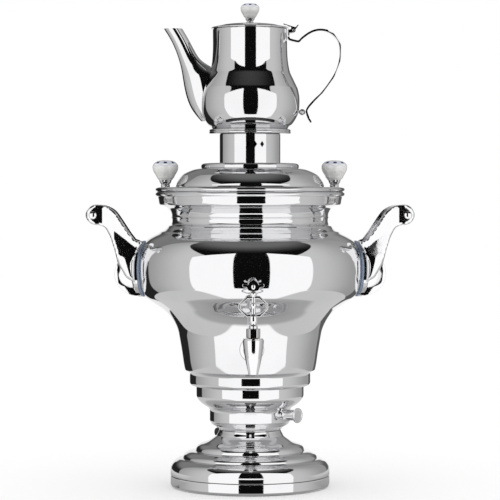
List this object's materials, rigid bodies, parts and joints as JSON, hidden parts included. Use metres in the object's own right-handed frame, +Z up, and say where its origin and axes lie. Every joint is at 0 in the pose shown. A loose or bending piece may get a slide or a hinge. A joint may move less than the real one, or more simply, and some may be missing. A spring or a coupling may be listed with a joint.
{
  "type": "electric samovar with teapot",
  "caption": "Electric water boiler with a tap and side handles, and a lidded teapot that stands on the vented collar of its lid.",
  "frame": {"origin": "the vessel's axis where it meets the underside of the rubber pad the samovar stands on", "axes": "+Z up along the vessel's axis, -Y towards the tap, -X towards the teapot's spout"},
  "size_m": [0.3534, 0.2713, 0.5215],
  "materials": {
    "polished_steel": "mirror-polished stainless steel sheet",
    "chrome": "bright chrome plate on castings and turned fittings",
    "porcelain": "white glazed porcelain with small blue ornament on the knobs",
    "silicone": "matte blue-grey silicone",
    "rubber": "matte black rubber",
    "black_plastic": "matte black plastic",
    "electrical_ceramic": "unglazed off-white ceramic",
    "heater_aluminium": "cast, satin",
    "element_steel": "dark annealed steel",
    "brass": "turned brass",
    "wire_sleeve": "red-brown silicone wire sleeve"
  },
  "bodies": {
    "samovar": {"base_cover": "polished_steel", "base_skirt": "polished_steel", "lower_housing": "polished_steel", "water_vessel": "polished_steel", "handle_bolt_left_lower": "polished_steel", "handle_bolt_left_upper": "polished_steel", "handle_bolt_right_lower": "polished_steel", "handle_bolt_right_upper": "polished_steel", "knob_bezel": "chrome", "tap_body": "chrome", "tap_escutcheon": "chrome", "tap_gland_nut": "chrome", "handle_casting_left": "chrome", "handle_casting_right": "chrome", "grip_bolt_left": "chrome", "grip_bolt_right": "chrome", "grip_cap_nut_left": "chrome", "grip_cap_nut_right": "chrome", "grip_left": "porcelain", "grip_right": "porcelain", "handle_gasket_left": "silicone", "handle_gasket_right": "silicone", "tap_washer": "silicone", "rubber_foot_pad": "rubber", "cord_gland": "rubber", "base_plate": "black_plastic", "thermostat": "electrical_ceramic", "thermal_cutout": "electrical_ceramic", "terminal_block": "electrical_ceramic", "heater_plate": "heater_aluminium", "heating_element": "element_steel", "tie_rod": "element_steel", "tie_rod_nut": "element_steel", "tap_back_nut": "brass", "mains_wire": "wire_sleeve", "supply_wire": "wire_sleeve", "heater_wire": "wire_sleeve"},
    "lid": {"lid": "polished_steel", "lid_locating_ring": "polished_steel", "collar_base": "polished_steel", "collar_tube": "polished_steel", "pot_seat": "polished_steel", "lid_knob_left": "porcelain", "lid_knob_right": "porcelain", "lid_knob_socket_left": "chrome", "lid_knob_socket_right": "chrome"},
    "teapot": {"teapot_body": "polished_steel", "teapot_spout": "polished_steel", "teapot_handle": "polished_steel", "handle_ball": "chrome", "hinge_bracket": "polished_steel", "hinge_pin": "polished_steel"},
    "teapot_lid": {"teapot_lid": "polished_steel", "lid_hinge_leaf": "polished_steel", "teapot_lid_knob": "porcelain", "teapot_knob_socket": "chrome"},
    "tap_key": {"tap_key": "chrome", "tap_plug": "brass"},
    "control_knob": {"control_knob": "chrome", "thermostat_spindle": "brass"}
  },
  "joints": [
    {"name": "lid_lift", "type": "slide", "parent": "samovar", "child": "lid", "axis": [0, 0, 1], "range_m": [0, 0.06]},
    {"name": "teapot_lift", "type": "slide", "parent": "lid", "child": "teapot", "axis": [0, 0, 1], "range_m": [0, 0.08]},
    {"name": "teapot_lid_hinge", "type": "hinge", "parent": "teapot", "child": "teapot_lid", "pos_m": [0.0466, 0, 0.4921], "axis": [0, 1, 0], "range_deg": [0, 95]},
    {"name": "tap_turn", "type": "hinge", "parent": "samovar", "child": "tap_key", "pos_m": [0, -0.138, 0.1532], "axis": [0, 0, 1], "range_deg": [0, 90]},
    {"name": "thermostat_turn", "type": "hinge", "parent": "samovar", "child": "control_knob", "pos_m": [0.03444, -0.0269, 0.08003], "axis": [0.788, -0.6157, 0], "range_deg": [0, 270]}
  ]
}
